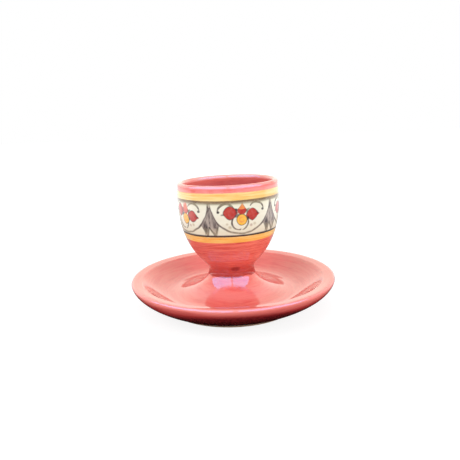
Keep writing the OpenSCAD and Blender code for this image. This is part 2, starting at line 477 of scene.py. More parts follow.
class Graph:
    """Writes a shader node tree as short formulas."""

    def __init__(self, tree: bpy.types.NodeTree) -> None:
        """Holds the tree that the nodes go into."""
        self.tree = tree

    def node(self, kind: str, **settings: object) -> bpy.types.Node:
        """Adds a node of a kind and sets its properties.

        Args:
            kind: Name of the node's type.
            **settings: Properties by their names.

        Returns:
            The new node.
        """
        made = self.tree.nodes.new(kind)
        for key, value in settings.items():
            setattr(made, key, value)
        return made

    def put(self, socket: Socket, value: object) -> None:
        """Links a socket to another, or sets its own value.

        Args:
            socket: Input that gets the value.
            value: A socket to link, a value to set, or None to leave it alone.
        """
        if isinstance(value, bpy.types.NodeSocket):
            self.tree.links.new(value, socket)
        elif value is not None:
            socket.default_value = value

    def math(self, operation: str, *values: object, clamp: bool = False) -> Socket:
        """One arithmetic step on numbers.

        Args:
            operation: Name of the operation.
            *values: Numbers or their sockets.
            clamp: Whether the result is kept between 0 and 1.

        Returns:
            The result's socket.
        """
        made = self.node("ShaderNodeMath", operation=operation, use_clamp=clamp)
        for socket, value in zip(made.inputs, values):
            self.put(socket, value)
        return made.outputs[0]

    def plus(self, first: object, second: object) -> Socket:
        """The first number plus the second."""
        return self.math("ADD", first, second)

    def minus(self, first: object, second: object) -> Socket:
        """The first number less the second."""
        return self.math("SUBTRACT", first, second)

    def times(self, first: object, second: object) -> Socket:
        """The first number times the second."""
        return self.math("MULTIPLY", first, second)

    def scaled(self, value: object, scale: object, shift: object) -> Socket:
        """A number times a scale, plus a shift."""
        return self.math("MULTIPLY_ADD", value, scale, shift)

    def vector(self, operation: str, *values: object) -> Socket:
        """One arithmetic step on vectors.

        Args:
            operation: Name of the operation.
            *values: Vectors, numbers or their sockets.

        Returns:
            The result's socket.
        """
        made = self.node("ShaderNodeVectorMath", operation=operation)
        for socket, value in zip(made.inputs, values):
            self.put(socket, value)
        return made.outputs["Value" if operation in ("LENGTH", "DOT_PRODUCT") else "Vector"]

    def join(self, x: object, y: object, z: object = 0.0) -> Socket:
        """A vector of three numbers.

        Args:
            x: First number.
            y: Second number.
            z: Third number.

        Returns:
            The result's socket.
        """
        made = self.node("ShaderNodeCombineXYZ")
        for socket, value in zip(made.inputs, (x, y, z)):
            self.put(socket, value)
        return made.outputs[0]

    def split(self, vector: Socket) -> tuple[Socket, Socket, Socket]:
        """The three numbers of a vector.

        Args:
            vector: The vector's socket.

        Returns:
            The sockets of x, y and z.
        """
        made = self.node("ShaderNodeSeparateXYZ")
        self.put(made.inputs[0], vector)
        return tuple(made.outputs)

    def fade(self, value: Socket, low: float, high: float) -> Socket:
        """A soft step from 0 at low to 1 at high; low may be the larger.

        Args:
            value: Number that the step is taken of.
            low: Where the step is 0.
            high: Where the step is 1.

        Returns:
            The result's socket.
        """
        made = self.node("ShaderNodeMapRange", interpolation_type="SMOOTHSTEP")
        flip = low > high
        for name, number in (("From Min", min(low, high)), ("From Max", max(low, high)),
                             ("To Min", 1.0 if flip else 0.0), ("To Max", 0.0 if flip else 1.0)):
            made.inputs[name].default_value = number
        self.put(made.inputs["Value"], value)
        return made.outputs["Result"]

    def noise(self, vector: Socket, scale: float, detail: float = 2.0,
              rough: float = 0.5) -> Socket:
        """Cloudy noise about one half.

        Args:
            vector: Place that the noise is read at.
            scale: Clouds per unit of length.
            detail: How many finer layers are added.
            rough: How strong each finer layer is.

        Returns:
            The result's socket.
        """
        made = self.node("ShaderNodeTexNoise", noise_dimensions="3D")
        for name, value in (("Vector", vector), ("Scale", scale), ("Detail", detail),
                            ("Roughness", rough)):
            self.put(made.inputs[name], value)
        return made.outputs["Fac"]

    def rotate(self, vector: Socket, angle: object, centre: Triple = (0.0, 0.0, 0.0)) -> Socket:
        """A vector turned about the third axis, round a centre, by an angle in radians.

        Args:
            vector: Vector to turn.
            angle: Angle in radians.
            centre: Point that stays where it is.

        Returns:
            The result's socket.
        """
        made = self.node("ShaderNodeVectorRotate", rotation_type="Z_AXIS")
        for name, value in (("Vector", vector), ("Center", centre), ("Angle", angle)):
            self.put(made.inputs[name], value)
        return made.outputs[0]

    def coordinates(self, kind: str = "Object") -> Socket:
        """Place on the object, in metres, or another kind of coordinate."""
        return self.node("ShaderNodeTexCoord").outputs[kind]

    def mix(self, factor: object, low: object, high: object) -> Socket:
        """A colour between two colours.

        Args:
            factor: Share of the second colour.
            low: First colour or its socket.
            high: Second colour or its socket.

        Returns:
            The result's socket.
        """
        made = self.node("ShaderNodeMix", data_type="RGBA", clamp_factor=True)
        for number, value in ((0, factor), (6, low), (7, high)):
            self.put(made.inputs[number], (*value, 1.0) if isinstance(value, tuple) else value)
        return made.outputs[2]

    def group(self, tree: bpy.types.NodeTree, **values: object) -> bpy.types.Node:
        """Places a node group, with its inputs given by name, underscores for spaces.

        Args:
            tree: The group's node tree.
            **values: Values of its inputs.

        Returns:
            The group's node.
        """
        made = self.node("ShaderNodeGroup", node_tree=tree)
        for key, value in values.items():
            self.put(made.inputs[key.replace("_", " ")], value)
        return made

    def finish(self, colour: Socket, rough: Socket, height: Socket, relief: float,
               ior: float = 1.5) -> None:
        """Ends a material with its shader.

        Args:
            colour: Colour of the surface.
            rough: Roughness of the surface.
            height: Height of the fine relief, as a share.
            relief: Height of the whole relief, in metres.
            ior: Index of refraction.
        """
        bump = self.node("ShaderNodeBump")
        bump.inputs["Strength"].default_value = 1.0
        bump.inputs["Distance"].default_value = relief
        self.put(bump.inputs["Height"], height)
        shader = self.node("ShaderNodeBsdfPrincipled")
        shader.inputs["IOR"].default_value = ior
        for name, value in (("Base Color", colour), ("Roughness", rough),
                            ("Normal", bump.outputs[0])):
            self.put(shader.inputs[name], value)
        self.put(self.node("ShaderNodeOutputMaterial").inputs["Surface"], shader.outputs[0])


def empty_graph(owner: bpy.types.Material | bpy.types.World) -> Graph:
    """Empties the node tree of a material or world and returns its graph.

    Args:
        owner: The material or world.

    Returns:
        Its graph, without nodes.
    """
    owner.use_nodes = True
    owner.node_tree.nodes.clear()
    return Graph(owner.node_tree)


VECTORS = ("Point", "Centre", "Place")  # inputs of the groups that are vectors


def new_group(name: str, inputs: Sequence[str], outputs: Sequence[str],
              build: Callable[[Graph, bpy.types.Node, bpy.types.Node], None]) -> bpy.types.NodeTree:
    """Makes a shader node group once and finds it again later.

    Args:
        name: Name of the group.
        inputs: Names of the inputs; those named in VECTORS are vectors, the others numbers.
        outputs: Names of the outputs, which are numbers.
        build: Fills the group; it gets the graph, the input node and the output node.

    Returns:
        The node group.
    """
    found = bpy.data.node_groups.get(name)
    if found:
        return found
    tree = bpy.data.node_groups.new(name, "ShaderNodeTree")
    for label in inputs:
        kind = "NodeSocketVector" if label in VECTORS else "NodeSocketFloat"
        tree.interface.new_socket(label, in_out="INPUT", socket_type=kind)
    for label in outputs:
        tree.interface.new_socket(label, in_out="OUTPUT", socket_type="NodeSocketFloat")
    graph = Graph(tree)
    build(graph, graph.node("NodeGroupInput"), graph.node("NodeGroupOutput"))
    return tree


HAIR_REACH = 2.5  # how much shorter a brush's hair marks are than its strokes
ROLL_SCALE, PIT_SCALE = 160.0, 2600.0  # a glaze's slow roll and its pinholes, per metre
PIT_STEP, PIT_DEPTH = (0.22, 0.12), 0.12  # noise that makes a pinhole, and its depth


def brush_group() -> bpy.types.NodeTree:
    """Brush strokes round the piece: noise drawn out along the turn and fine across it.

    Returns:
        The group, which puts out Broad and Fine strokes.
    """

    def build(g: Graph, given: bpy.types.Node, out: bpy.types.Node) -> None:
        """Lays noise on a ring of small radius, so that it closes and is drawn out round it.

        Args:
            g: The group's graph.
            given: The node of its inputs.
            out: The node of its outputs.
        """
        angle = g.times(given.outputs["Turn"], FULL_TURN)
        reach = given.outputs["Reach"]
        x = g.times(g.math("COSINE", angle), reach)
        y = g.times(g.math("SINE", angle), reach)
        along = given.outputs["Along"]
        broad = g.join(x, y, g.math("DIVIDE", along, given.outputs["Stroke"]))
        hair = g.join(g.times(x, HAIR_REACH), g.times(y, HAIR_REACH),
                      g.math("DIVIDE", along, given.outputs["Hair"]))
        g.put(out.inputs["Broad"], g.noise(broad, 1.0, 3.0, 0.6))
        g.put(out.inputs["Fine"], g.noise(hair, 1.0, 2.0, 0.6))

    return new_group("brush_strokes", ("Turn", "Along", "Reach", "Stroke", "Hair"),
                     ("Broad", "Fine"), build)


def relief_group() -> bpy.types.NodeTree:
    """Height of a fired glaze: a slow roll, the rings of the brush and tiny pinholes.

    Returns:
        The group, which puts out Height.
    """

    def build(g: Graph, given: bpy.types.Node, out: bpy.types.Node) -> None:
        """Adds the three heights with their own weights.

        Args:
            g: The group's graph.
            given: The node of its inputs.
            out: The node of its outputs.
        """
        place = given.outputs["Place"]
        roll = g.noise(place, ROLL_SCALE, 1.0)
        pit = g.fade(g.noise(place, PIT_SCALE, 0.0), *PIT_STEP)
        rings = g.times(given.outputs["Strokes"], given.outputs["Ringing"])
        height = g.plus(g.times(roll, given.outputs["Rolling"]), rings)
        g.put(out.inputs["Height"], g.minus(height, g.times(pit, PIT_DEPTH)))

    return new_group("glaze_relief", ("Place", "Strokes", "Rolling", "Ringing"), ("Height",), build)


def ellipse_group() -> bpy.types.NodeTree:
    """Distance in millimetres from a turned oval, negative inside it.

    A power of two makes an ellipse and a lower power draws it out to four soft corners.

    Returns:
        The group, which puts out Distance.
    """

    def build(g: Graph, given: bpy.types.Node, out: bpy.types.Node) -> None:
        """Turns the point, divides it by the half widths and scales its length less one.

        Args:
            g: The group's graph.
            given: The node of its inputs.
            out: The node of its outputs.
        """
        away = g.vector("SUBTRACT", given.outputs["Point"], given.outputs["Centre"])
        lean = g.times(given.outputs["Lean"], -math.pi / 180)
        power = given.outputs["Power"]
        u, v = (g.math("POWER", g.math("ABSOLUTE", g.math("DIVIDE", part, given.outputs[half])),
                       power)
                for part, half in zip(g.split(g.rotate(away, lean)), ("Half w", "Half h")))
        length = g.math("POWER", g.plus(u, v), g.math("DIVIDE", 1.0, power))
        least = g.math("MINIMUM", given.outputs["Half w"], given.outputs["Half h"])
        g.put(out.inputs["Distance"], g.times(g.minus(length, 1.0), least))

    return new_group("ellipse_mark", ("Point", "Centre", "Half w", "Half h", "Lean", "Power"),
                     ("Distance",), build)


ARC_THINS = 0.55  # share of its width that an arc loses towards its ends


def arc_group() -> bpy.types.NodeTree:
    """Distance in millimetres from a brushed arc that thins towards its ends.

    Returns:
        The group, which puts out Distance.
    """

    def build(g: Graph, given: bpy.types.Node, out: bpy.types.Node) -> None:
        """Compares the distance from the centre with the radius, within a span of angle.

        Args:
            g: The group's graph.
            given: The node of its inputs.
            out: The node of its outputs.
        """
        away = g.vector("SUBTRACT", given.outputs["Point"], given.outputs["Centre"])
        middle = g.times(given.outputs["Middle"], -math.pi / 180)
        x, y, _ = g.split(g.rotate(away, middle))
        angle = g.math("ABSOLUTE", g.math("ARCTAN2", y, x))
        span = g.times(given.outputs["Span"], math.pi / 360)
        share = g.math("MINIMUM", g.math("DIVIDE", angle, span), 1.0)
        thin = g.minus(1.0, g.times(g.math("POWER", share, 2.0), ARC_THINS))
        half = g.times(given.outputs["Half line"], thin)
        radius = given.outputs["Radius"]
        off = g.math("ABSOLUTE", g.minus(g.vector("LENGTH", away), radius))
        past = g.times(g.math("MAXIMUM", g.minus(angle, span), 0.0), radius)
        far = g.vector("LENGTH", g.join(off, past))
        g.put(out.inputs["Distance"], g.minus(far, half))

    return new_group("arc_mark", ("Point", "Centre", "Radius", "Middle", "Span", "Half line"),
                     ("Distance",), build)


@dataclass(frozen=True)
class Blob:
    """A dab of paint, round or oval, turned by an angle in degrees."""

    x: float
    up: float
    half_w: float
    half_h: float
    lean: float = 0.0
    power: float = 2.0

    def distance(self, g: Graph, point: Socket) -> Socket:
        """Distance in millimetres from the dab's edge, negative inside it.

        Args:
            g: The graph that the nodes go into.
            point: Place in the pattern, in millimetres.

        Returns:
            The distance's socket.
        """
        return g.group(ellipse_group(), Point=point, Centre=(self.x, self.up, 0.0),
                       Half_w=self.half_w, Half_h=self.half_h, Lean=self.lean,
                       Power=self.power).outputs[0]


@dataclass(frozen=True)
class Curl:
    """A brushed arc about x and up, with its middle and span in degrees."""

    x: float
    up: float
    radius: float
    middle: float
    span: float
    half_line: float = 0.47

    def distance(self, g: Graph, point: Socket) -> Socket:
        """Distance in millimetres from the arc's edge, negative inside it.

        Args:
            g: The graph that the nodes go into.
            point: Place in the pattern, in millimetres.

        Returns:
            The distance's socket.
        """
        return g.group(arc_group(), Point=point, Centre=(self.x, self.up, 0.0),
                       Radius=self.radius, Middle=self.middle, Span=self.span,
                       Half_line=self.half_line).outputs[0]


@dataclass(frozen=True)
class Form:
    """A shape along its own axis.

    The axis starts at x and up and runs at the angle lean. At shares of its length the
    shape reaches to the left and to the right of the axis by shares of half_w.
    """

    name: str
    x: float
    up: float
    length: float
    half_w: float
    lean: float
    left: tuple[Span, ...]
    right: tuple[Span, ...]

    def distance(self, g: Graph, point: Socket) -> Socket:
        """Distance in millimetres across the shape, negative inside it."""
        return g.group(self._group(), Point=point).outputs[0]

    def _side(self, g: Graph, share: Socket, reach: tuple[Span, ...]) -> Socket:
        """How far the shape reaches to one side at a share of its length.

        Args:
            g: The graph that the nodes go into.
            share: Share of the way along the axis.
            reach: Pairs of a share of the length and of half_w.

        Returns:
            The reach's socket, in millimetres.
        """
        made = g.node("ShaderNodeFloatCurve")
        line = made.mapping.curves[0]
        first, *middle, last = reach
        line.points[0].location = first
        line.points[-1].location = last
        for place in middle:
            line.points.new(*place)
        for handle in line.points:
            handle.handle_type = "VECTOR"
        made.mapping.update()
        g.put(made.inputs["Value"], share)
        return g.times(made.outputs[0], self.half_w)

    def _group(self) -> bpy.types.NodeTree:
        """The shape as a node group of its own.

        Returns:
            The group, which puts out Distance.
        """

        def build(g: Graph, given: bpy.types.Node, out: bpy.types.Node) -> None:
            """Turns the point onto the axis and compares its offset with the reach there.

            Args:
                g: The group's graph.
                given: The node of its inputs.
                out: The node of its outputs.
            """
            away = g.vector("SUBTRACT", given.outputs["Point"], (self.x, self.up, 0.0))
            x, y, _ = g.split(g.rotate(away, -math.radians(self.lean)))
            share = g.math("DIVIDE", x, self.length, clamp=True)
            before, right = (g.times(part, -1.0) for part in (x, y))
            over = [g.minus(y, self._side(g, share, self.left)),
                    g.minus(right, self._side(g, share, self.right)),
                    g.math("MAXIMUM", before, g.minus(x, self.length))]
            most = g.math("MAXIMUM", g.math("MAXIMUM", over[0], over[1]), over[2])
            g.put(out.inputs["Distance"], most)

        return new_group(self.name, ("Point",), ("Distance",), build)


@dataclass(frozen=True)
class Mark:
    """One touch of the brush: a form filled with paint, or only its outline.

    The paint covers less where the brush ran dry. A mark may be kept within another form,
    or have one cut out of it. A few soft marks on the coats are painted shadow and shade, not
    paint.
    """

    form: Blob | Curl | Form
    paint: Colour
    soft: float = 0.16
    strength: float = 1.0
    dry: float = 0.25
    outline: float = 0.0
    within: Optional[Blob | Form] = None
    cut: Optional[Blob | Form] = None

    def lay(self, g: Graph, point: Socket, load: Socket, under: Socket) -> Socket:
        """Lays the mark over a colour.

        Args:
            g: The material's graph.
            point: Place in the pattern, in millimetres.
            load: How much paint the brush holds at each place, from 0 to 1.
            under: The colour below.

        Returns:
            The colour with the mark on it.
        """
        distance = self.form.distance(g, point)
        if self.outline:
            distance = g.minus(g.math("ABSOLUTE", distance), self.outline)
        if self.within:
            distance = g.math("MAXIMUM", distance, self.within.distance(g, point))
        if self.cut:
            distance = g.math("MAXIMUM", distance, g.times(self.cut.distance(g, point), -1.0))
        held = g.scaled(load, self.dry * self.strength,
                        (1 - self.dry) * self.strength)
        cover = g.times(g.fade(distance, self.soft, -self.soft), held)
        return g.mix(cover, under, self.paint)


INK = srgb(74, 58, 52)
DARK_INK = srgb(38, 26, 30)
LEAF_WASH = srgb(178, 166, 156)
LEAF_SHADE = srgb(62, 50, 54)
BLUE_GREY = srgb(58, 60, 68)
OLIVE = srgb(104, 104, 84)
PETAL_RED = (0.50, 0.022, 0.015)
PETAL_LIGHT = (0.62, 0.075, 0.050)
FLAME_ORANGE = srgb(240, 146, 76)
DISC_YELLOW = srgb(255, 192, 60)
DISC_LINE = srgb(92, 58, 30)
BLUSH = srgb(186, 158, 138)
SAND = srgb(196, 184, 150)

ARCH = Blob(-0.3, 17.1, 16.3, 16.0)
LEAF = Form("leaf_pair", 0.0, 14.3, 14.1, 5.4, -90,
            ((0.0, 0.04), (0.106, 0.15), (0.255, 0.30), (0.418, 0.52), (0.567, 0.74), (0.624, 0.80),
             (0.816, 0.61), (1.0, 0.37)),
            ((0.0, 0.04), (0.106, 0.17), (0.27, 0.44), (0.461, 0.74), (0.624, 0.98), (0.709, 0.81),
             (0.858, 0.62), (1.0, 0.43)))
LEAF_NOTCH = Form("leaf_notch", -0.6, 4.9, 5.2, 2.05, -84.8, ((0.0, 0.02), (1.0, 0.95)),
                  ((0.0, 0.02), (1.0, 0.98)))
STEM = Form("leaf_stem", 0.0, 17.6, 4.2, 0.5, -90, *(((0.0, 0.9), (1.0, 0.7)),) * 2)
FLAME = Form("flame_petal", -0.65, 10.9, 5.6, 2.35, 87,
             ((0.0, 0.45), (0.16, 0.82), (0.40, 1.0), (0.60, 0.62), (0.80, 0.30), (1.0, 0.03)),
             ((0.0, 0.45), (0.16, 0.78), (0.40, 0.98), (0.60, 0.60), (0.80, 0.26), (1.0, 0.03)))
LEFT_PETAL = Blob(-6.4, 11.75, 3.35, 3.3, 0.0, 1.6)
RIGHT_PETAL = Blob(4.65, 10.45, 3.15, 2.9, 0.0, 1.6)
DISC = Blob(-0.7, 8.25, 2.4, 2.5)

ARCH_MARKS = (
    Mark(ARCH, LEAF_WASH, soft=0.3, strength=0.6, outline=0.6),
    Mark(ARCH, INK, strength=0.95, dry=0.3, outline=0.38),
)
LEAF_MARKS = (
    Mark(STEM, LEAF_WASH, soft=0.25, strength=0.85),
    Mark(LEAF, LEAF_WASH, soft=0.22, strength=1.0, dry=0.1, cut=LEAF_NOTCH),
    Mark(LEAF, LEAF_SHADE, soft=0.35, strength=0.85, dry=0.5, outline=0.3, cut=LEAF_NOTCH),
    Mark(Blob(-2.8, 4.3, 1.4, 3.2, 8), LEAF_SHADE, soft=0.7, strength=1.0, dry=0.2, within=LEAF,
         cut=LEAF_NOTCH),
    Mark(Blob(2.5, 5.2, 0.95, 3.4, 16), LEAF_SHADE, soft=0.8, strength=0.85, dry=0.6, within=LEAF,
         cut=LEAF_NOTCH),
    Mark(Blob(-0.3, 8.9, 0.45, 4.6, 3), LEAF_SHADE, soft=0.4, strength=0.9, dry=0.5),
    Mark(Blob(1.7, 8.9, 0.4, 3.8, 24), LEAF_SHADE, soft=0.4, strength=0.85, dry=0.6),
    Mark(Blob(-2.2, 8.4, 0.3, 3.2, -20), INK, soft=0.35, strength=0.7, dry=0.6),
    Mark(LEAF_NOTCH, DARK_INK, soft=0.25, strength=1.0, dry=0.15, outline=0.3, within=LEAF),
    Mark(Blob(1.05, 2.3, 2.8, 0.42, -53), DARK_INK, soft=0.25, strength=0.95),
    Mark(Blob(3.4, 2.7, 2.6, 0.46, 73), DARK_INK, soft=0.25, strength=0.95),
    Mark(Blob(4.6, 4.2, 1.9, 0.5, 72), DARK_INK, soft=0.3, strength=0.85, within=LEAF),
    Mark(Blob(-2.9, 2.4, 2.1, 0.5, 74), DARK_INK, soft=0.3, strength=0.85, cut=LEAF_NOTCH),
)
SCROLL_MARKS = (
    Mark(Curl(-8.5, 12.1, 4.2, 98, 156, 0.62), INK, strength=0.95, dry=0.3),
    Mark(Blob(-12.3, 12.35, 0.75, 0.65), DARK_INK, soft=0.25, strength=0.95),
    Mark(Curl(7.0, 12.2, 4.1, 74, 140, 0.54), INK, strength=0.95, dry=0.3),
    Mark(Blob(10.6, 12.45, 0.75, 0.6), DARK_INK, soft=0.25, strength=0.9),
    Mark(Curl(-1.9, 7.0, 3.8, 200, 150), INK, strength=0.95, dry=0.35),
    Mark(Blob(-1.8, 3.3, 0.65, 0.4, 20), INK, soft=0.25, strength=0.8),
    Mark(Curl(-1.7, 7.1, 4.2, -30, 86), INK, strength=0.9, dry=0.35),
    Mark(Blob(-8.1, 6.3, 0.6, 0.6), SAND, soft=0.35, strength=0.75),
    Mark(Blob(-6.8, 4.6, 0.85, 0.7), SAND, soft=0.4, strength=0.75),
    Mark(Blob(4.1, 5.0, 0.75, 0.7), BLUSH, soft=0.4, strength=0.75),
    Mark(Blob(6.2, 5.6, 0.85, 0.8), SAND, soft=0.4, strength=0.75),
)
FLOWER_MARKS = (
    Mark(Blob(-10.0, 11.0, 0.95, 0.42, 15), INK, soft=0.25, strength=0.9),
    Mark(Blob(-3.3, 13.2, 0.8, 0.6, -35), DARK_INK, soft=0.3, strength=0.95),
    Mark(Blob(2.3, 13.0, 1.1, 0.5, 20), OLIVE, soft=0.3, strength=0.9),
    Mark(LEFT_PETAL, PETAL_RED, soft=0.2, dry=0.05),
    Mark(Blob(-6.9, 12.5, 1.7, 1.4), PETAL_LIGHT, soft=1.2, strength=0.45, dry=0.3),
    Mark(Blob(-3.4, 11.8, 1.0, 0.75), PETAL_RED, soft=0.25),
    Mark(LEFT_PETAL, DARK_INK, soft=0.22, strength=0.85, dry=0.5, outline=0.2),
    Mark(RIGHT_PETAL, PETAL_RED, soft=0.2, dry=0.05),
    Mark(Blob(4.2, 11.2, 1.7, 1.2), PETAL_LIGHT, soft=1.1, strength=0.45, dry=0.3),
    Mark(Blob(7.3, 10.3, 1.3, 0.7), PETAL_RED, soft=0.22),
    Mark(Blob(7.7, 10.8, 0.95, 0.34, -25), DARK_INK, soft=0.25, strength=0.85),
    Mark(RIGHT_PETAL, DARK_INK, soft=0.22, strength=0.8, dry=0.5, outline=0.18),
    Mark(FLAME, PETAL_RED, soft=0.2, dry=0.05),
    Mark(FLAME, FLAME_ORANGE, soft=0.22, within=Blob(-0.4, 17.0, 3.6, 3.6)),
    Mark(FLAME, OLIVE, soft=0.2, strength=0.7, dry=0.5, outline=0.1),
    Mark(Blob(-3.1, 10.3, 1.4, 0.75, 25), BLUE_GREY, soft=0.3),
    Mark(Blob(-3.2, 12.5, 0.45, 1.1, -15), DARK_INK, soft=0.3, strength=0.85),
    Mark(Blob(2.3, 8.7, 0.6, 1.0, -15), DARK_INK, soft=0.3, strength=0.95),
    Mark(Blob(1.9, 12.0, 0.5, 0.95), DARK_INK, soft=0.3, strength=0.8),
    Mark(DISC, DISC_LINE, soft=0.2, strength=1.0, dry=0.2, outline=0.34),
    Mark(DISC, DISC_YELLOW, soft=0.2, dry=0.1),
    Mark(Curl(-0.7, 8.3, 1.1, 200, 260, 0.36), FLAME_ORANGE, soft=0.4, strength=0.85),
)


# Scales of noise are per metre; a step is the span in which noise becomes a share.
LOAD_SCALE, LOAD_STEP = 700.0, (0.30, 0.62)  # how a brush's load of paint comes and goes
WASH_STEP, FINE_STEP, WASH_SHARE = (0.30, 0.70), (0.25, 0.80), 0.65  # from thin to thick
POOL_SCALE, POOL_STEP = 90.0, (1.02, 1.35)  # where glaze pools
DARK_STREAK, LIGHT_STREAK, LIGHT_SHARE = (0.50, 0.72), (0.50, 0.30), 0.5
BLEED_STRENGTH = 0.8  # how much of the next colour shows at a coat's edge
GLAZE_SPREAD, CLAY_SPREAD = 0.06, 0.08  # how far the roughness varies


def brush_load(g: Graph, place: Socket) -> Socket:
    """How much paint the brush holds at each place, from 0 to 1."""
    return g.fade(g.noise(place, LOAD_SCALE), *LOAD_STEP)


@dataclass(frozen=True)
class Ring:
    """A band of another tone round a coat: thin or pooled glaze, and on a few coats painted light
    or shade.
    """

    at: float
    half: float
    colour: Colour
    strength: float

    def lay(self, g: Graph, along: Socket, broad: Socket, under: Socket) -> Socket:
        """Lays the ring over a colour, with an edge that the brush's broad strokes move.

        Args:
            g: The graph that the nodes go into.
            along: Way across the coat, in millimetres.
            broad: The brush's broad strokes.
            under: The colour below.

        Returns:
            The colour with the ring on it.
        """
        away = g.math("ABSOLUTE", g.minus(along, self.at))
        uneven = g.scaled(broad, self.half, -0.5 * self.half)
        near = g.fade(g.plus(away, uneven), self.half, 0.0)
        return g.mix(g.times(near, self.strength), under, self.colour)


@dataclass(frozen=True)
class Glaze:
    """A brushed, glossy glaze coat.

    The colour lies between thin and thick as the brush left it, darkens in a few pooled
    strokes, changes tone in rings, takes streaks and marks, and bleeds into the colours
    beyond its two edges.

    Lengths are in millimetres, but for the relief in metres. The brush leaves strokes and
    hair marks of those widths, the longer the smaller its reach. Marks are placed on a
    cylinder of the radius mark_r, across from the front and up from the lower edge.
    """

    name: str
    thin: Colour
    thick: Colour
    pooled: Colour
    pooled_share: float = 0.25
    low_next: Optional[Colour] = None
    high_next: Optional[Colour] = None
    rings: tuple[Ring, ...] = ()
    bleed: float = 0.22
    ragged: float = 0.5
    drips: float = 900.0
    lap: float = 0.0
    marks: tuple[Mark, ...] = ()
    mark_r: float = 12.5
    stroke: float = 2.6
    hair: float = 0.45
    reach: float = 1.4
    rough: float = 0.09
    streaks: float = 0.0
    rolling: float = 0.5
    ringing: float = 0.35
    relief: float = 0.00003
    ior: float = 1.62

    def material(self, width: float) -> bpy.types.Material:
        """Builds the material.

        Args:
            width: Width of the coat along the skin, in millimetres.

        Returns:
            The material, with its colour, roughness and normal from nodes.
        """
        made = bpy.data.materials.new(self.name)
        g = empty_graph(made)
        turn, share, _ = g.split(g.node("ShaderNodeUVMap", uv_map=UV_NAME).outputs[0])
        along = g.times(share, width)
        place = g.coordinates()
        brush = g.group(brush_group(), Turn=turn, Along=along, Reach=self.reach,
                        Stroke=self.stroke, Hair=self.hair)
        broad, fine = brush.outputs
        colour = self.colour(g, turn, share, place, broad, fine)
        for ring in self.rings:
            colour = ring.lay(g, along, broad, colour)
        if self.streaks:
            dark = g.times(g.fade(fine, *DARK_STREAK), self.streaks)
            light = g.times(g.fade(fine, *LIGHT_STREAK), LIGHT_SHARE * self.streaks)
            colour = g.mix(light, g.mix(dark, colour, self.pooled), self.thin)
        if self.marks:
            whole = FULL_TURN * self.mark_r
            point = g.join(g.scaled(turn, whole, -whole * FRONT_TURN), along)
            load = brush_load(g, place)
            for mark in self.marks:
                colour = mark.lay(g, point, load, colour)
        ragged = g.scaled(g.noise(place, self.drips), self.ragged, -0.5 * self.ragged)
        beyond = g.minus(width - self.lap, along)
        for next_colour, away in ((self.low_next, along), (self.high_next, beyond)):
            if next_colour:
                near = g.fade(g.plus(away, ragged), self.bleed, -self.bleed)
                colour = g.mix(g.times(near, BLEED_STRENGTH), colour, next_colour)
        relief = g.group(relief_group(), Place=place, Strokes=broad, Rolling=self.rolling,
                         Ringing=self.ringing).outputs[0]
        rough = g.scaled(fine, GLAZE_SPREAD, self.rough - GLAZE_SPREAD / 2)
        g.finish(colour, rough, relief, self.relief, self.ior)
        return made

    def colour(self, g: Graph, turn: Socket, share: Socket, place: Socket, broad: Socket,
               fine: Socket) -> Socket:
        """Colour of the coat as the brush left it.

        Args:
            g: The material's graph.
            turn: Share of a full turn.
            share: Share of the way across the coat.
            place: Place in space.
            broad: The brush's broad strokes.
            fine: The brush's fine strokes.

        Returns:
            The colour, from thin to thick, with a few pooled strokes.
        """
        wash = g.times(g.fade(broad, *WASH_STEP), WASH_SHARE)
        blend = g.scaled(g.fade(fine, *FINE_STEP), 1 - WASH_SHARE, wash)
        colour = g.mix(blend, self.thin, self.thick)
        pool = g.fade(g.plus(g.noise(place, POOL_SCALE), broad), *POOL_STEP)
        return g.mix(g.times(pool, self.pooled_share), colour, self.pooled)


